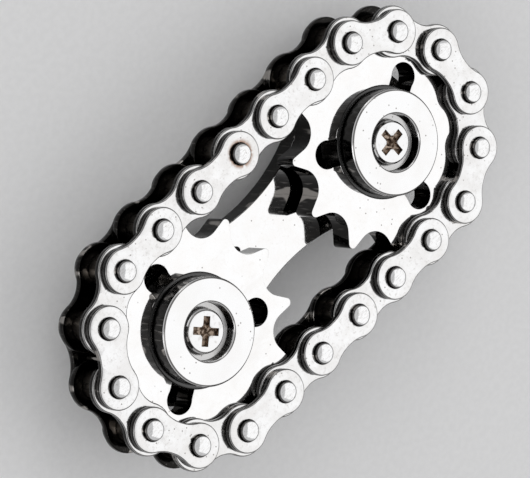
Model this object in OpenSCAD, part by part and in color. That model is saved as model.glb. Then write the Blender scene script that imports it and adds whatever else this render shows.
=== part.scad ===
// Chain and sprocket spinner: a closed bush chain runs round two toothed
// sprockets that turn on ball bearings, joined by a bridge plate. It lies flat
// on its rear caps. Origin: middle of the footprint, at the rear cap faces.
// +X runs from hub A to hub B, +Z runs along the hub axes towards the front.

/* [Chain] */
// distance between neighbouring pins
pitch = 6.35; // [6:0.05:7]
// links in each straight run, which sets the hub spacing
run_links = 5; // [4:1:7]
// thickness of a link plate
plate_t = 0.75; // [0.6:0.05:0.85]
// eye radius of an outer link plate
outer_eye_r = 2.5; // [2.3:0.05:2.7]
// eye radius of an inner link plate
inner_eye_r = 2.9; // [2.7:0.05:2.95]
// half width at the waist of an outer link plate
outer_waist = 1.75; // [1.4:0.05:2]
// half width at the waist of an inner link plate
inner_waist = 2.0; // [1.6:0.05:2.2]
// space between the two inner plates
inner_width = 3.18; // [3:0.02:3.4]
// gap between an inner and an outer plate
side_gap = 0.08; // [0.05:0.01:0.15]
// radius of a pin
pin_r = 1.155; // [1:0.005:1.2]
// length of pin standing out past each outer plate
pin_stand = 0.6; // [0.3:0.05:0.9]
// radius of the domed ends of a pin
crown_r = 3.4; // [3:0.1:8]
// outside radius of a bush
bush_r = 1.65; // [1.5:0.01:1.66]
// clearance between a pin and its bush
pin_clear = 0.03; // [0.01:0.01:0.08]

/* [Sprockets] */
// turn of the first seated pin back from the top of the sprocket
phase = 12.4; // [0:0.1:14]
// thickness of a sprocket
sprocket_t = 3.0; // [2.6:0.05:3.05]
// radius to the tooth tips
tip_r = 12.45; // [12.4:0.05:12.8]
// rounding radius of a tooth tip
tip_round = 0.5; // [0.4:0.02:0.6]
// radius to the bottom of the gullets between the teeth
root_r = 9.9; // [9.8:0.05:10.4]
// radius of the round bottom of a gullet
gullet_r = 2.3; // [1.9:0.05:2.4]
// radius from the hub axis to the round end of a notch
notch_reach = 7.75; // [7.5:0.05:8]
// radius of the round end of a notch
notch_r = 1.6; // [1.2:0.05:1.65]
// width of the neck of a notch
notch_w = 3.0; // [2:0.1:3.1]
// turn of sprocket A in its slack, away from the middle of the bushes
slack_a = 1.0; // [-2:0.1:2]
// turn of sprocket B in its slack, away from the middle of the bushes
slack_b = -1.8; // [-2:0.1:2]

/* [Bearings] */
// outside radius of a bearing
bearing_r = 6.35; // [6:0.05:6.5]
// bore radius of a bearing
axle_r = 3.175; // [3:0.025:3.3]
// width of a bearing
bearing_w = 3.175; // [3.125:0.025:3.3]
// radial thickness of a bearing ring
ring_t = 1.0; // [0.9:0.02:1.1]
// radius of a bearing ball
ball_r = 0.79; // [0.76:0.01:0.8]
// balls in each bearing
ball_count = 10; // [8:1:11]

/* [Bridge] */
// thickness of the bridge plate
bridge_t = 2.5; // [2.2:0.1:2.8]
// eye radius of the bridge plate
bridge_eye_r = 8.55; // [8.2:0.05:8.6]
// half width at the waist of the bridge plate
bridge_waist = 4.1; // [3:0.1:5]
// gap between a sprocket and the bridge plate
bridge_gap = 1.25; // [1.1:0.05:1.3]

/* [Hubs] */
// radius of a cap
cap_r = 5.95; // [5.8:0.05:6.3]
// thickness of a cap's rim
cap_t = 2.0; // [1.8:0.05:2.2]
// chamfer round a cap's face
cap_chamfer = 0.2; // [0.15:0.05:0.5]
// radius of the recess round a screw head
recess_r = 3.2; // [3:0.05:3.4]
// depth of the recess round a screw head
recess_d = 1.45; // [1.2:0.05:1.5]
// radius of a screw head
head_r = 2.44; // [2.2:0.02:2.6]
// height of a screw head
head_h = 0.7; // [0.65:0.05:0.95]
// turn of the cross recess at hub A
cross_turn_a = 46; // [0:1:90]
// turn of the cross recess at hub B
cross_turn_b = 7; // [0:1:90]

/* [Hidden] */
teeth = 12;
step = 360 / teeth;
pitch_r = pitch / 2 / sin(step / 2);
spacing = run_links * pitch;
half = spacing / 2;
first = 90 - phase;
wrap = teeth / 2;
inner_z = inner_width / 2;
outer_z = inner_z + plate_t + side_gap;
pin_half = outer_z + plate_t + pin_stand;
crown_turn = asin(pin_r / crown_r);
crown_steps = 6;
boss_inset = 0.1;
boss_r = axle_r + ring_t - boss_inset;
boss_h = 0.275;
spacer = 1.2;
bearing_half = bearing_w / 2;
rear_top = -bearing_half - spacer;
rear_mid = rear_top - bearing_half;
rear_low = rear_top - bearing_w;
cap_h = boss_h + cap_t;
mid_z = cap_h - rear_low;
ball_track = (axle_r + bearing_r) / 2;
ball_clear = 0.035;
groove_r = ball_r + ball_clear;
bridge_top = -sprocket_t / 2 - bridge_gap;
bridge_low = bridge_top - bridge_t;
sleeve_inset = 0.2;
lip = 0.15;
shank_r = 1.5;
shank_len = 2.6;
shank_clear = 0.05;
shank_bevel = 0.3;
head_bevel = 0.22;
cross_w = 0.85;
cross_span = 3.3;
cross_depth = 0.55;
dimple_r = 0.85;
dimple_tip = 0.3;
dimple_d = 0.85;
rear_turn = 20;

// gullet and tip of one tooth, joined by a straight flank that touches both
gullet_centre = root_r + gullet_r;
tip_centre = tip_r - tip_round;
to_tip_x = tip_centre * cos(step / 2) - gullet_centre;
to_tip_y = tip_centre * sin(step / 2);
to_tip = norm([to_tip_x, to_tip_y]);
gullet_turn = atan2(to_tip_y, to_tip_x) + acos((gullet_r + tip_round) / to_tip);
tip_turn = gullet_turn - 180;
gullet_steps = 12;
tip_steps = 10;

steel = [0.86, 0.86, 0.87];
bright = [0.93, 0.93, 0.94];
dull = [0.72, 0.71, 0.70];

// ---- where the chain's pins stand ----

function polar(cx, r, a) = [cx + r * cos(a), r * sin(a)];
function seat_a(k) = polar(-half, pitch_r, first + step * k);
function seat_b(k) = polar(half, pitch_r, first + 180 + step * k);
function along(from, to, n) = from + (to - from) * n / run_links;

function pin_at(j) =
    j <= wrap ? seat_a(j) :
    j < wrap + run_links ? along(seat_a(wrap), seat_b(0), j - wrap) :
    j <= 2 * wrap + run_links ? seat_b(j - wrap - run_links) :
    along(seat_b(wrap), seat_a(0), j - 2 * wrap - run_links);

module at_pin(j) {
    p = pin_at(j);
    translate([p[0], p[1], mid_z]) children();
}

module on_link(i) {
    p = pin_at(i - 1);
    q = pin_at(i);
    d = q - p;
    translate([p[0], p[1], mid_z]) rotate(atan2(d[1], d[0])) children();
}

// ---- plates with two round eyes and a waist ----

// radius of the side scoops, which meet the eyes at a slight angle
meet = 7;
function scoop_r(span, eye, waist) =
    (span * span / 4 + waist * waist - eye * eye) / (2 * (eye * cos(meet) - waist));

module waisted(span, eye, waist, t) {
    rc = scoop_r(span, eye, waist);
    yc = waist + rc;
    h = eye * sin(atan2(yc, span / 2));
    cylinder(h = t, r = eye, $fn = 96);
    translate([span, 0, 0]) cylinder(h = t, r = eye, $fn = 96);
    difference() {
        translate([0, -h, 0]) cube([span, 2 * h, t]);
        for (s = [-1, 1]) {
            translate([span / 2, s * yc, -1]) cylinder(h = t + 2, r = rc, $fn = 96);
        }
    }
}

module link_plate(eye, waist, hole) {
    difference() {
        waisted(pitch, eye, waist, plate_t);
        for (x = [0, pitch]) {
            translate([x, 0, -1]) cylinder(h = plate_t + 2, r = hole, $fn = 48);
        }
    }
}

module link_pair(eye, waist, hole, z) {
    translate([0, 0, z]) link_plate(eye, waist, hole);
    translate([0, 0, -z - plate_t]) link_plate(eye, waist, hole);
}

module outer_link(i) {
    on_link(i) link_pair(outer_eye_r, outer_waist, pin_r, outer_z);
}

module inner_link(i) {
    on_link(i) link_pair(inner_eye_r, inner_waist, bush_r, inner_z);
}

function crown_point(n, s) =
    let (a = crown_turn * n / crown_steps)
    [crown_r * sin(a), s * (pin_half - crown_r * (1 - cos(a)))];

module pin() {
    rotate_extrude($fn = 48)
        polygon([
            for (n = [0 : crown_steps]) crown_point(n, 1),
            for (n = [crown_steps : -1 : 0]) crown_point(n, -1)
        ]);
}

module bush() {
    len = inner_width + 2 * plate_t;
    difference() {
        translate([0, 0, -len / 2]) cylinder(h = len, r = bush_r, $fn = 48);
        translate([0, 0, -len]) cylinder(h = 2 * len, r = pin_r + pin_clear, $fn = 48);
    }
}

module pin_row(from, to) {
    for (j = [from : to]) at_pin(j) pin();
}

module bush_row(from, to) {
    for (j = [from : to]) at_pin(j) bush();
}

// ---- sprocket ----

function gullet_point(n) =
    let (a = 360 - gullet_turn - (360 - 2 * gullet_turn) * n / gullet_steps)
    [gullet_centre + gullet_r * cos(a), gullet_r * sin(a)];

function tip_point(n) =
    let (a = tip_turn + (step - 2 * tip_turn) * n / tip_steps)
    [
        tip_centre * cos(step / 2) + tip_round * cos(a),
        tip_centre * sin(step / 2) + tip_round * sin(a)
    ];

function turned(p, a) = [
    p[0] * cos(a) - p[1] * sin(a),
    p[0] * sin(a) + p[1] * cos(a)
];

module toothed_disc() {
    linear_extrude(height = sprocket_t)
        polygon([
            for (k = [0 : teeth - 1])
                for (n = [0 : gullet_steps + tip_steps + 1])
                    turned(
                        n <= gullet_steps ? gullet_point(n) : tip_point(n - gullet_steps - 1),
                        first + step * k
                    )
        ]);
}

module notch() {
    translate([notch_reach, 0, -1]) cylinder(h = sprocket_t + 2, r = notch_r, $fn = 48);
    translate([0, -notch_w / 2, -1]) cube([notch_reach, notch_w, sprocket_t + 2]);
}

module sprocket() {
    translate([0, 0, -sprocket_t / 2])
        difference() {
            toothed_disc();
            translate([0, 0, -1]) cylinder(h = sprocket_t + 2, r = bearing_r, $fn = 96);
            for (k = [0 : 2]) rotate(first + step / 2 + 120 * k) notch();
        }
}

// ---- bearings, made about their own middle ----

module ring(r_in, r_out) {
    difference() {
        translate([0, 0, -bearing_half]) cylinder(h = bearing_w, r = r_out, $fn = 96);
        translate([0, 0, -bearing_w]) cylinder(h = 2 * bearing_w, r = r_in, $fn = 96);
        rotate_extrude($fn = 96) translate([ball_track, 0]) circle(r = groove_r, $fn = 48);
    }
}

module outer_ring() {
    ring(bearing_r - ring_t, bearing_r);
}

module inner_ring() {
    ring(axle_r, axle_r + ring_t);
}

module ball_set() {
    for (k = [0 : ball_count - 1]) {
        rotate(360 / ball_count * k)
            translate([ball_track, 0, 0]) sphere(r = ball_r, $fn = 48);
    }
}

// ---- hubs ----

// front cap, standing on the bearing's inner ring at height zero
module cap() {
    floor_z = cap_h - recess_d;
    hole_r = shank_r + shank_clear;
    rotate_extrude($fn = 96)
        polygon([
            [hole_r, 0],
            [boss_r, 0],
            [boss_r, boss_h],
            [cap_r - lip, boss_h],
            [cap_r, boss_h + lip],
            [cap_r, cap_h - cap_chamfer],
            [cap_r - cap_chamfer, cap_h],
            [recess_r + lip, cap_h],
            [recess_r, cap_h - lip],
            [recess_r, floor_z],
            [hole_r, floor_z]
        ]);
}

// screw, with its shank hanging from the floor of the cap's recess
module screw(turn) {
    floor_z = cap_h - recess_d;
    tip_z = floor_z - shank_len;
    top_z = floor_z + head_h;
    difference() {
        rotate_extrude($fn = 72)
            polygon([
                [0, tip_z],
                [shank_r - shank_bevel, tip_z],
                [shank_r, tip_z + shank_bevel],
                [shank_r, floor_z],
                [head_r, floor_z],
                [head_r, top_z - head_bevel],
                [head_r - head_bevel, top_z],
                [0, top_z]
            ]);
        for (a = [0, 90]) {
            rotate(turn + a)
                translate([-cross_span / 2, -cross_w / 2, top_z - cross_depth])
                    cube([cross_span, cross_w, cross_depth + 1]);
        }
        translate([0, 0, top_z - dimple_d])
            cylinder(h = dimple_d + lip, r1 = dimple_tip, r2 = dimple_r, $fn = 48);
    }
}

module sleeve() {
    difference() {
        union() {
            translate([0, 0, rear_low + sleeve_inset])
                cylinder(h = bearing_half - rear_low - 2 * sleeve_inset, r = axle_r, $fn = 72);
            translate([0, 0, rear_top]) cylinder(h = spacer, r = boss_r, $fn = 72);
        }
        translate([0, 0, rear_low - 1])
            cylinder(h = bearing_half - rear_low + 2, r = shank_r, $fn = 48);
    }
}

module at_hub(s) {
    translate([s * half, 0, mid_z]) children();
}

module on_front(s) {
    at_hub(s) translate([0, 0, bearing_half]) children();
}

module on_rear(s) {
    at_hub(s) translate([0, 0, rear_low]) mirror([0, 0, 1]) children();
}

// ---- bridge ----

module bridge() {
    difference() {
        translate([-half, 0, bridge_low])
            waisted(spacing, bridge_eye_r, bridge_waist, bridge_t);
        for (x = [-half, half]) {
            translate([x, 0, bridge_low - 1])
                cylinder(h = bridge_t + 2, r = bearing_r, $fn = 96);
        }
    }
}

// ---- named parts ----

module bridge_plate() {
    color(steel) translate([0, 0, mid_z]) bridge();
}

module sprocket_a() {
    color(steel) at_hub(-1) rotate(slack_a) sprocket();
}

module sprocket_b() {
    color(steel) at_hub(1) rotate(180 + slack_b) sprocket();
}

module sprocket_bearing_outer_a() {
    color(bright) at_hub(-1) outer_ring();
}

module sprocket_bearing_inner_a() {
    color(bright) at_hub(-1) inner_ring();
}

module sprocket_bearing_balls_a() {
    color(bright) at_hub(-1) ball_set();
}

module bridge_bearing_outer_a() {
    color(bright) at_hub(-1) translate([0, 0, rear_mid]) outer_ring();
}

module bridge_bearing_inner_a() {
    color(bright) at_hub(-1) translate([0, 0, rear_mid]) inner_ring();
}

module bridge_bearing_balls_a() {
    color(bright) at_hub(-1) translate([0, 0, rear_mid]) ball_set();
}

module axle_sleeve_a() {
    color(dull) at_hub(-1) sleeve();
}

module front_cap_a() {
    color(bright) on_front(-1) cap();
}

module rear_cap_a() {
    color(bright) on_rear(-1) cap();
}

module front_screw_a() {
    color(bright) on_front(-1) screw(cross_turn_a);
}

module rear_screw_a() {
    color(bright) on_rear(-1) screw(cross_turn_a + rear_turn);
}

module sprocket_bearing_outer_b() {
    color(bright) at_hub(1) outer_ring();
}

module sprocket_bearing_inner_b() {
    color(bright) at_hub(1) inner_ring();
}

module sprocket_bearing_balls_b() {
    color(bright) at_hub(1) ball_set();
}

module bridge_bearing_outer_b() {
    color(bright) at_hub(1) translate([0, 0, rear_mid]) outer_ring();
}

module bridge_bearing_inner_b() {
    color(bright) at_hub(1) translate([0, 0, rear_mid]) inner_ring();
}

module bridge_bearing_balls_b() {
    color(bright) at_hub(1) translate([0, 0, rear_mid]) ball_set();
}

module axle_sleeve_b() {
    color(dull) at_hub(1) sleeve();
}

module front_cap_b() {
    color(bright) on_front(1) cap();
}

module rear_cap_b() {
    color(bright) on_rear(1) cap();
}

module front_screw_b() {
    color(bright) on_front(1) screw(cross_turn_b);
}

module rear_screw_b() {
    color(bright) on_rear(1) screw(cross_turn_b + rear_turn);
}

module outer_link_01() {
    color(steel) outer_link(1);
}

module inner_link_02() {
    color(dull) inner_link(2);
}

module outer_link_03() {
    color(steel) outer_link(3);
}

module inner_link_04() {
    color(dull) inner_link(4);
}

module outer_link_05() {
    color(steel) outer_link(5);
}

module inner_link_06() {
    color(dull) inner_link(6);
}

module outer_link_07() {
    color(steel) outer_link(7);
}

module inner_link_08() {
    color(dull) inner_link(8);
}

module outer_link_09() {
    color(steel) outer_link(9);
}

module inner_link_10() {
    color(dull) inner_link(10);
}

module outer_link_11() {
    color(steel) outer_link(11);
}

module inner_link_12() {
    color(dull) inner_link(12);
}

module outer_link_13() {
    color(steel) outer_link(13);
}

module inner_link_14() {
    color(dull) inner_link(14);
}

module outer_link_15() {
    color(steel) outer_link(15);
}

module inner_link_16() {
    color(dull) inner_link(16);
}

module outer_link_17() {
    color(steel) outer_link(17);
}

module inner_link_18() {
    color(dull) inner_link(18);
}

module outer_link_19() {
    color(steel) outer_link(19);
}

module inner_link_20() {
    color(dull) inner_link(20);
}

module outer_link_21() {
    color(steel) outer_link(21);
}

module inner_link_22() {
    color(dull) inner_link(22);
}

module pins_on_sprocket_a() {
    color(bright) pin_row(0, 5);
}

module pins_on_bottom_run() {
    color(bright) pin_row(6, 11);
}

module pins_on_sprocket_b() {
    color(bright) pin_row(12, 17);
}

module pins_on_top_run() {
    color(bright) pin_row(18, 21);
}

module bushes_on_sprocket_a() {
    color(dull) bush_row(1, 6);
}

module bushes_on_bottom_run() {
    color(dull) bush_row(7, 10);
}

module bushes_on_sprocket_b() {
    color(dull) bush_row(11, 16);
}

module bushes_on_top_run() {
    color(dull) bush_row(17, 22);
}

bridge_plate();
sprocket_a();
sprocket_b();
sprocket_bearing_outer_a();
sprocket_bearing_inner_a();
sprocket_bearing_balls_a();
bridge_bearing_outer_a();
bridge_bearing_inner_a();
bridge_bearing_balls_a();
axle_sleeve_a();
front_cap_a();
rear_cap_a();
front_screw_a();
rear_screw_a();
sprocket_bearing_outer_b();
sprocket_bearing_inner_b();
sprocket_bearing_balls_b();
bridge_bearing_outer_b();
bridge_bearing_inner_b();
bridge_bearing_balls_b();
axle_sleeve_b();
front_cap_b();
rear_cap_b();
front_screw_b();
rear_screw_b();
outer_link_01();
inner_link_02();
outer_link_03();
inner_link_04();
outer_link_05();
inner_link_06();
outer_link_07();
inner_link_08();
outer_link_09();
inner_link_10();
outer_link_11();
inner_link_12();
outer_link_13();
inner_link_14();
outer_link_15();
inner_link_16();
outer_link_17();
inner_link_18();
outer_link_19();
inner_link_20();
outer_link_21();
inner_link_22();
pins_on_sprocket_a();
pins_on_bottom_run();
pins_on_sprocket_b();
pins_on_top_run();
bushes_on_sprocket_a();
bushes_on_bottom_run();
bushes_on_sprocket_b();
bushes_on_top_run();
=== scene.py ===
"""Looks of the chain and sprocket spinner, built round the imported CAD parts."""

import math

import bpy
from mathutils import Matrix, Vector


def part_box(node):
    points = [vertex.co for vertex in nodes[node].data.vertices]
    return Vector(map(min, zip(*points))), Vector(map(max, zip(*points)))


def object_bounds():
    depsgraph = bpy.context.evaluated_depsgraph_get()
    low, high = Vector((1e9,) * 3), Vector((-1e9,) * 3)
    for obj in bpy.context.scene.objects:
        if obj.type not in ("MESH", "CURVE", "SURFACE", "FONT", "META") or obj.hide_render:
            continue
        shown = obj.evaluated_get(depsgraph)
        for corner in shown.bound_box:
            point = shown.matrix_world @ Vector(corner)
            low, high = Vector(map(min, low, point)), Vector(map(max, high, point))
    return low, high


MM = 0.001

# ---------------------------------------------------------------- frame

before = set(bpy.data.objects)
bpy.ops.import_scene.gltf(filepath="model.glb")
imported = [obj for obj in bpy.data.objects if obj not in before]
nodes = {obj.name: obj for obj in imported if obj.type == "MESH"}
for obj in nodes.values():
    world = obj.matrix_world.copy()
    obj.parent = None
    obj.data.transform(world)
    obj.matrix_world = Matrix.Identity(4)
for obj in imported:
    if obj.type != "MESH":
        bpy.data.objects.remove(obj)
cad_low, cad_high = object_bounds()
centre = (cad_low + cad_high) / 2


def middle(node):
    """The middle of a CAD node's box."""
    low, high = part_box(node)
    return (low + high) / 2


hub = {side: middle("front_cap_" + side) for side in "ab"}


# ---------------------------------------------------------------- camera and light

# where the camera stands, seen from the point it looks at
CAMERA_AZIMUTH = math.radians(136.2)
CAMERA_ELEVATION = math.radians(55.3)
CAMERA_ROLL = math.radians(94.1)
CAMERA_DISTANCE = 410 * MM
CAMERA_AIM = Vector((-3.94 * MM, 2.86 * MM, 11.59 * MM))
CAMERA_LENS = 257.8

# how far the key light sits below the point that flat faces mirror to the camera
KEY_DROP = math.radians(8)
STUDIO_GREY = (0.56, 0.56, 0.565, 1)


def direction(azimuth, elevation):
    """A unit vector at an azimuth counted from +X, and an elevation above the floor."""
    flat = math.cos(elevation)
    return Vector((flat * math.cos(azimuth), flat * math.sin(azimuth), math.sin(elevation)))


def add_camera():
    """The camera, at the angle the object is seen from."""
    back = direction(CAMERA_AZIMUTH, CAMERA_ELEVATION)
    data = bpy.data.cameras.new("camera")
    data.lens = CAMERA_LENS
    data.sensor_width = 36
    data.clip_start = 0.01
    data.clip_end = 20
    camera = bpy.data.objects.new("camera", data)
    bpy.context.scene.collection.objects.link(camera)
    turn = (-back).to_track_quat("-Z", "Y").to_matrix().to_4x4()
    roll = Matrix.Rotation(CAMERA_ROLL, 4, "Z")
    camera.matrix_world = Matrix.Translation(CAMERA_AIM + back * CAMERA_DISTANCE) @ turn @ roll
    bpy.context.scene.camera = camera


def add_softbox(name, towards, distance, size, radiance):
    """A square area light that faces the object and has the given radiance."""
    data = bpy.data.lights.new(name, "AREA")
    data.shape = "SQUARE"
    data.size = size
    data.energy = radiance * math.pi * size * size
    lamp = bpy.data.objects.new(name, data)
    bpy.context.scene.collection.objects.link(lamp)
    lamp.location = centre + towards * distance
    lamp.rotation_mode = "QUATERNION"
    lamp.rotation_quaternion = (-towards).to_track_quat("-Z", "Y")


def add_lights():
    """One large softbox that the flat faces mirror to the camera, and two smaller, brighter ones."""
    mirrored = direction(CAMERA_AZIMUTH + math.pi, CAMERA_ELEVATION - KEY_DROP)
    left = direction(math.radians(160), math.radians(38))
    right = direction(math.radians(60), math.radians(30))
    add_softbox("key", mirrored, distance=0.60, size=0.56, radiance=0.46)
    add_softbox("fill", left, distance=0.70, size=0.30, radiance=1.6)
    add_softbox("rim", right, distance=0.70, size=0.25, radiance=2.2)
    world = bpy.data.worlds.new("studio")
    bpy.context.scene.world = world
    world.use_nodes = True
    sky = world.node_tree.nodes["Background"]
    sky.inputs["Color"].default_value = STUDIO_GREY
    sky.inputs["Strength"].default_value = 1.0


# ---------------------------------------------------------------- shader helpers


class Shader:
    """A new material with a Principled shader and short ways to add nodes to it."""

    def __init__(self, name, metallic, roughness):
        self.material = bpy.data.materials.new(name)
        self.material.use_nodes = True
        self.tree = self.material.node_tree
        self.surface = self.tree.nodes["Principled BSDF"]
        self.surface.inputs["Metallic"].default_value = metallic
        self.surface.inputs["Roughness"].default_value = roughness
        self.place = self.add("ShaderNodeTexCoord")

    def add(self, kind, **settings):
        """A node of this kind, with its settings."""
        made = self.tree.nodes.new(kind)
        for key, value in settings.items():
            setattr(made, key, value)
        return made

    def put(self, value, socket):
        """Gives a socket a number or a colour, or links it to another node's output."""
        if isinstance(value, bpy.types.NodeSocket):
            self.tree.links.new(value, socket)
        else:
            socket.default_value = value

    def math(self, operation, a, b=0.0):
        """One maths step."""
        step = self.add("ShaderNodeMath", operation=operation)
        self.put(a, step.inputs[0])
        self.put(b, step.inputs[1])
        return step.outputs[0]

    def spread(self, value, low, high, to_low=0.0, to_high=1.0):
        """Maps low..high to to_low..to_high, smoothly and clamped."""
        step = self.add("ShaderNodeMapRange", interpolation_type="SMOOTHSTEP")
        for socket, v in zip(step.inputs, (value, low, high, to_low, to_high)):
            self.put(v, socket)
        return step.outputs[0]

    def noise(self, scale, detail=2.0, stretch=None, roughness=0.5):
        """Noise in the part's own coordinates, with its scale in cells per metre."""
        source = self.place.outputs["Object"]
        if stretch:
            mapping = self.add("ShaderNodeMapping")
            self.put(source, mapping.inputs["Vector"])
            mapping.inputs["Scale"].default_value = stretch
            source = mapping.outputs[0]
        step = self.add("ShaderNodeTexNoise")
        self.put(source, step.inputs["Vector"])
        step.inputs["Scale"].default_value = scale
        step.inputs["Detail"].default_value = detail
        step.inputs["Roughness"].default_value = roughness
        return step.outputs[0]

    def mix(self, factor, a, b):
        """A colour between a and b."""
        step = self.add("ShaderNodeMix", data_type="RGBA")
        self.put(factor, step.inputs[0])
        self.put(a, step.inputs[6])
        self.put(b, step.inputs[7])
        return step.outputs[2]

    def bump(self, height, distance, strength):
        """A bump of this height in metres."""
        step = self.add("ShaderNodeBump")
        step.inputs["Distance"].default_value = distance
        step.inputs["Strength"].default_value = strength
        self.put(height, step.inputs["Height"])
        return step.outputs[0]

    def upward(self, coordinate):
        """The Z part of one of the part's own coordinates."""
        split = self.add("ShaderNodeSeparateXYZ")
        self.put(self.place.outputs[coordinate], split.inputs[0])
        return split.outputs[2]

    def facing(self):
        """1 on surfaces that face along the hub axis, falling to 0 on upright walls."""
        return self.math("ABSOLUTE", self.upward("Normal"))

    def outward(self, middle_z):
        """Like facing, but below 0 where the surface faces a part's own mid height."""
        up = self.upward("Normal")
        side = self.math("SIGN", self.math("SUBTRACT", self.height(), middle_z))
        return self.math("MULTIPLY", up, side)

    def dots(self, cells):
        """Distance to the nearest of some scattered points, in cells, seen from above."""
        step = self.add("ShaderNodeTexVoronoi", voronoi_dimensions="2D")
        self.put(self.place.outputs["Object"], step.inputs["Vector"])
        step.inputs["Scale"].default_value = cells
        return step.outputs["Distance"]

    def height(self):
        """Height above the floor at rest, in metres."""
        return self.upward("Object")

    def radius(self, point):
        """Distance from the upright axis through a point, in metres."""
        step = self.add("ShaderNodeVectorMath", operation="SUBTRACT")
        self.put(self.place.outputs["Object"], step.inputs[0])
        step.inputs[1].default_value = point
        flat = self.add("ShaderNodeVectorMath", operation="MULTIPLY")
        self.put(step.outputs[0], flat.inputs[0])
        flat.inputs[1].default_value = (1, 1, 0)
        size = self.add("ShaderNodeVectorMath", operation="LENGTH")
        self.put(flat.outputs[0], size.inputs[0])
        return size.outputs["Value"]


def grey(value, warmth=0.0):
    """A grey, a little warmer or cooler."""
    return (value * (1 + warmth), value, value * (1 - warmth), 1)


# ---------------------------------------------------------------- materials

# where the painted light over an edge changes, from 0 on an upright wall (painted shade) through a
# painted highlight rim and a thin painted shade stripe to 1 on a flat face
SHADED_WALL_TO_PAINTED_RIM = (0.42, 0.55)
PAINTED_RIM_TO_SHADE_STRIPE = (0.62, 0.74)
SHADE_STRIPE_TO_FACE = (0.96, 0.998)

RUST = (0.33, 0.17, 0.09, 1)
DARK_BROWN = (0.07, 0.045, 0.03, 1)
PALE_BROWN = (0.50, 0.40, 0.32, 1)

# radii between which the brown of a pin's stain, and of a cross recess, fades out
STAIN_FADE = (1.15 * MM, 1.85 * MM)
CROSS_FADE = (1.70 * MM, 1.78 * MM)

# for spread(): from 1 down to 0
FALLING = (1.0, 0.0)


def painted_edge_light_and_shade(s, up, face, side, rim, painted_shade_stripe):
    """Lays painted shade on walls, then a painted highlight rim and a thin painted shade stripe over
    the rounded edge, then a face colour.
    """
    colour = s.mix(s.spread(up, *SHADED_WALL_TO_PAINTED_RIM), side, rim)
    colour = s.mix(s.spread(up, *PAINTED_RIM_TO_SHADE_STRIPE), colour, painted_shade_stripe)
    return s.mix(s.spread(up, *SHADE_STRIPE_TO_FACE), colour, face)


def painted_wall_shade_and_glints(s, dark, scale):
    """Near-black painted shade on upright side walls, with painted reflections: brown-grey patches
    taller than they are wide, and fine streaks.
    """
    painted_glint = s.spread(s.noise(scale, 2, stretch=(1, 1, 0.3)), 0.60, 0.64)
    tone = s.mix(painted_glint, grey(dark, 0.05), grey(0.30, 0.06))
    painted_streak_glint = s.spread(s.noise(5200, 2, stretch=(1, 1, 0.06)), 0.58, 0.82)
    return s.mix(painted_streak_glint, tone, grey(0.16, 0.05))


def specked(s, tone, base, cells, size):
    """Scatters tiny dark pits over a face colour, in loose groups."""
    pit = s.spread(s.dots(cells), size, size * 1.8, *FALLING)
    group = s.spread(s.noise(180, 2), 0.50, 0.56)
    return s.mix(s.math("MULTIPLY", pit, group), tone, grey(base * 0.35, 0.05))


def plated_face(s, face, mottle, smudge, crinkle):
    """Mottled face colour of a plated part, with crinkled grain, soft smudges and pits."""
    cloud = s.noise(420, 4, roughness=0.6)
    tone = s.mix(s.spread(cloud, 0.35, 0.68), grey(face), grey(face * (1 - mottle), 0.012))
    tone = s.mix(s.spread(crinkle, 0.50, 0.78), tone, grey(face * (1 - 2.4 * mottle), 0.02))
    soft = s.spread(s.noise(130, 5, stretch=(1, 2.2, 1), roughness=0.62), 0.52, 0.78)
    tone = s.mix(soft, tone, grey(face * (1 - smudge), 0.02))
    return specked(s, tone, face, 700, 0.04)


def plated(name, face, dark, rough, mottle, smudge, middle_z=None, stain=None):
    """Bright plated steel, with near-black painted shade and painted reflections on its upright walls.

    With middle_z, faces turned towards that height get the same painted shade, standing for the shade
    on a part's inner side between parts."""
    s = Shader(name, 1.0, rough)
    crinkle = s.noise(2400, 4, roughness=0.65)
    tone = plated_face(s, face, mottle, smudge, crinkle)
    if stain:
        near = s.spread(s.radius(stain), *STAIN_FADE, *FALLING)
        rust = s.math("MULTIPLY", near, s.spread(s.noise(1500, 3), 0.32, 0.50))
        tone = s.mix(rust, tone, RUST)
    up = s.facing() if middle_z is None else s.outward(middle_z)
    side = painted_wall_shade_and_glints(s, dark, 400)
    colour = painted_edge_light_and_shade(s, up, tone, side, grey(face * 0.7), grey(face * 0.20, 0.03))
    s.put(colour, s.surface.inputs["Base Color"])
    fine = s.noise(7000, 2)
    s.put(s.spread(fine, 0.3, 0.7, rough - 0.02, rough + 0.03), s.surface.inputs["Roughness"])
    s.put(s.bump(crinkle, 0.002 * MM, 0.3), s.surface.inputs["Normal"])
    return s.material


def turned(name, face, dark, rough, point, bore=0.0):
    """Steel turned on a lathe: fine rings about a hub axis, painted shade round its rim, painted
    reflections as bright streaks in its bore.
    """
    s = Shader(name, 1.0, rough)
    rings = s.add("ShaderNodeTexNoise", noise_dimensions="1D")
    s.put(s.math("MULTIPLY", s.radius(point), 9000), rings.inputs["W"])
    rings.inputs["Detail"].default_value = 2
    ring = rings.outputs[0]
    cloud = s.spread(s.noise(300, 3), 0.4, 0.75)
    tone = s.mix(s.spread(ring, 0.3, 0.7), grey(face), grey(face * 0.97))
    tone = s.mix(cloud, tone, grey(face * 0.94, 0.01))
    tone = specked(s, tone, face, 800, 0.05)
    side = painted_wall_shade_and_glints(s, dark, 420)
    # painted reflections: bright upright streaks on the bore wall
    if bore:
        inside = s.spread(s.radius(point), bore, bore * 1.02, *FALLING)
        painted_bore_glint = s.spread(s.noise(330, 2, stretch=(1, 1, 0.2)), 0.46, 0.50)
        side = s.mix(s.math("MULTIPLY", inside, painted_bore_glint), side, grey(0.95))
    colour = painted_edge_light_and_shade(s, s.facing(), tone, side, grey(face), grey(face * 0.24, 0.03))
    s.put(colour, s.surface.inputs["Base Color"])
    s.put(s.spread(ring, 0.2, 0.8, rough - 0.03, rough + 0.05), s.surface.inputs["Roughness"])
    s.put(s.bump(ring, 0.004 * MM, 0.5), s.surface.inputs["Normal"])
    return s.material


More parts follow.
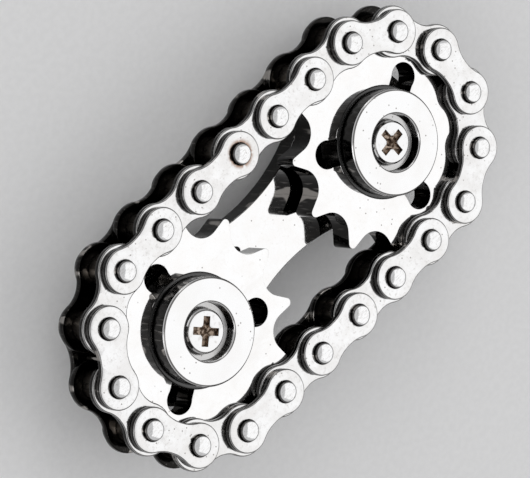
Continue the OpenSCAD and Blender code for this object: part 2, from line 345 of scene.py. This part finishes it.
def screw_steel(name, point, top_z, deep_z):
    """A bright screw head with painted shade and painted reflections round its side, a painted
    highlight rim and thin painted shade stripe at its edge, and a cross recess that has gone brown.
    """
    s = Shader(name, 1.0, 0.2)
    stain = s.spread(s.noise(2600, 3), 0.38, 0.62)
    brown = s.mix(stain, DARK_BROWN, PALE_BROWN)
    face = s.mix(s.spread(s.noise(1800, 3), 0.55, 0.75), grey(0.93), grey(0.72, 0.02))
    head = painted_edge_light_and_shade(s, s.facing(), face, painted_wall_shade_and_glints(s, 0.03, 900), grey(0.8), grey(0.25, 0.03))
    inside = s.spread(s.radius(point), *CROSS_FADE, *FALLING)
    sunk = s.math("MULTIPLY", inside, s.spread(s.height(), top_z, deep_z))
    s.put(s.mix(sunk, head, brown), s.surface.inputs["Base Color"])
    s.put(s.spread(sunk, 0.0, 1.0, 0.17, 0.42), s.surface.inputs["Roughness"])
    s.put(s.bump(s.noise(3000, 3), 0.02 * MM, 0.6), s.surface.inputs["Normal"])
    return s.material


def pin_steel(name):
    """Cut and tumbled pin: bright domed ends with fine scratches; painted shade on its sides, a
    painted highlight band and a near-black painted shade ring round each end.
    """
    s = Shader(name, 1.0, 0.09)
    cut = s.noise(2200, 3, stretch=(1, 3, 1))
    face = s.mix(s.spread(cut, 0.45, 0.70), grey(0.95), grey(0.80, 0.01))
    face = s.mix(s.spread(s.noise(5200, 2), 0.64, 0.74), face, grey(0.5, 0.04))
    up = s.facing()
    # painted light by tilt: shaded sides, then a lighter painted highlight band, then a near-black
    # painted shade ring just outside the bright end face
    side = s.mix(s.spread(up, 0.25, 0.45), painted_wall_shade_and_glints(s, 0.03, 900), grey(0.30, 0.02))
    ring = s.mix(s.spread(up, 0.50, 0.70), side, grey(0.07, 0.03))
    s.put(s.mix(s.spread(up, 0.90, 0.945), ring, face), s.surface.inputs["Base Color"])
    s.put(s.spread(cut, 0.3, 0.7, 0.06, 0.13), s.surface.inputs["Roughness"])
    s.put(s.bump(cut, 0.006 * MM, 0.5), s.surface.inputs["Normal"])
    return s.material


def drawn_steel(name, tone):
    """Dull drawn steel of the inner bushes and sleeves, brown, with darker lines along it."""
    s = Shader(name, 1.0, 0.32)
    lines = s.noise(2400, 3, stretch=(1, 1, 0.15))
    lined_brown_tone = s.mix(s.spread(lines, 0.3, 0.7), grey(tone, 0.10), grey(tone * 0.4, 0.14))
    s.put(lined_brown_tone, s.surface.inputs["Base Color"])
    s.put(s.spread(lines, 0.3, 0.7, 0.24, 0.42), s.surface.inputs["Roughness"])
    s.put(s.bump(lines, 0.01 * MM, 0.6), s.surface.inputs["Normal"])
    return s.material


def floor_paint():
    """Pale, plain, matt floor with a trace of paper tooth."""
    s = Shader("floor", 0.0, 0.85)
    tooth = s.noise(1400, 4)
    tone = s.mix(s.spread(tooth, 0.3, 0.7), grey(0.86), grey(0.89))
    s.put(tone, s.surface.inputs["Base Color"])
    s.put(s.bump(tooth, 0.05 * MM, 0.4), s.surface.inputs["Normal"])
    s.surface.inputs["Specular IOR Level"].default_value = 0.1
    return s.material


# ---------------------------------------------------------------- finish each CAD part

# width and steps of the rounded edge of each kind of part
LINK_EDGE = (0.15 * MM, 3)
PIN_EDGE = (0.09 * MM, 3)
SPROCKET_EDGE = (0.24 * MM, 3)
BRIDGE_EDGE = (0.12 * MM, 3)
SCREW_EDGE = (0.05 * MM, 2)
CAP_EDGE = (0.06 * MM, 2)
RING_EDGE = (0.10 * MM, 2)

# the outer link with a brown stain round one of its pins
STAINED_LINK = "outer_link_21"

# how deep below a screw's face the brown of its cross starts, and over what depth it deepens
BROWN_START = 0.03 * MM
BROWN_DEPTH = 0.12 * MM

FLOOR_REACH = 4.0


def soften(node, width, segments):
    """Breaks a part's sharp edges with a small rounded bevel."""
    part = nodes[node]
    weld = part.modifiers.new("weld", "WELD")
    weld.merge_threshold = 0.0005 * MM
    bevel = part.modifiers.new("edge", "BEVEL")
    bevel.width = width
    bevel.segments = segments
    bevel.limit_method = "ANGLE"
    bevel.angle_limit = math.radians(30)
    bevel.use_clamp_overlap = True
    shade = part.modifiers.new("shade", "WEIGHTED_NORMAL")
    shade.weight = 80
    shade.keep_sharp = False


def paint(node, material):
    """Gives every slot of a CAD part one material."""
    part = nodes[node]
    for slot in part.material_slots:
        slot.material = material


def pin_beside(link):
    """The axis of the pin at the hub B end of a link in the straight upper run."""
    low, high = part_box(link)
    eye = (high.y - low.y) / 2
    return Vector((high.x - eye, (low.y + high.y) / 2, 0))


def finish_chain():
    """Link plates, pins and bushes."""
    mid = middle("pins_on_top_run").z
    # faces turned towards the pins' mid height, between the plates, get near-black painted shade like
    # the walls
    look = dict(face=0.96, dark=0.02, rough=0.20, mottle=0.11, smudge=0.15, middle_z=mid)
    outer = plated("outer_plate", **look)
    stained = plated("stained_plate", **look, stain=pin_beside(STAINED_LINK))
    look.update(face=0.93, dark=0.018, rough=0.14, mottle=0.09)
    inner = plated("inner_plate", **look)
    pin = pin_steel("pin")
    # the bushes' low tone is painted shade between the link plates
    bush = drawn_steel("bush", tone=0.20)
    for node in nodes:
        if node.startswith("outer_link"):
            paint(node, stained if node == STAINED_LINK else outer)
            soften(node, *LINK_EDGE)
        elif node.startswith("inner_link"):
            paint(node, inner)
            soften(node, *LINK_EDGE)
        elif node.startswith("pins"):
            paint(node, pin)
            soften(node, *PIN_EDGE)
        elif node.startswith("bushes"):
            paint(node, bush)


def finish_plates():
    """Sprockets and bridge plate."""
    look = dict(face=0.98, dark=0.012, rough=0.05, mottle=0.03, smudge=0.10)
    # with middle_z at the floor, the sprockets' undersides over the bridge plate get near-black
    # painted shade
    gear = plated("sprocket", **look, middle_z=cad_low.z)
    for side in "ab":
        paint("sprocket_" + side, gear)
        soften("sprocket_" + side, *SPROCKET_EDGE)
    look.update(face=0.97, dark=0.015, smudge=0.04)
    paint("bridge_plate", plated("bridge", **look))
    soften("bridge_plate", *BRIDGE_EDGE)


def finish_screw(node, point):
    """A screw whose recess runs in from its outer end."""
    low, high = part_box(node)
    front = node.startswith("front")
    top = high.z if front else low.z
    inward = -1 if front else 1
    start = top + inward * BROWN_START
    paint(node, screw_steel(node, point, start, start + inward * BROWN_DEPTH))
    soften(node, *SCREW_EDGE)


def finish_hub(side):
    """Caps, screws, bearings and sleeve of one hub."""
    point = hub[side]
    for node in nodes:
        if not node.endswith("_" + side):
            continue
        if "cap" in node:
            look = dict(face=0.98, dark=0.02, rough=0.16, point=point, bore=3.3 * MM)
            paint(node, turned("cap_" + node, **look))
            soften(node, *CAP_EDGE)
        elif "screw" in node:
            finish_screw(node, point)
        elif "balls" in node:
            paint(node, turned("ball_" + node, face=0.8, dark=0.5, rough=0.1, point=point))
        elif "sleeve" in node:
            paint(node, drawn_steel("sleeve_" + side, tone=0.4))
        elif "bearing" in node:
            # the bearing rings' faces are painted near-black as painted shade where they sit recessed
            # under the caps
            paint(node, turned("ring_" + node, face=0.10, dark=0.03, rough=0.16, point=point))
            soften(node, *RING_EDGE)


def add_floor():
    """A wide plain floor just under the rear caps."""
    mesh = bpy.data.meshes.new("floor")
    corners = [(x * FLOOR_REACH, y * FLOOR_REACH, 0) for x, y in ((-1, -1), (1, -1), (1, 1), (-1, 1))]
    mesh.from_pydata(corners, [], [(0, 1, 2, 3)])
    floor = bpy.data.objects.new("floor", mesh)
    floor.location.z = cad_low.z
    bpy.context.scene.collection.objects.link(floor)
    floor.data.materials.append(floor_paint())


finish_chain()
finish_plates()
finish_hub("a")
finish_hub("b")
add_floor()
add_lights()
add_camera()
bpy.context.scene.view_settings.view_transform = "Standard"
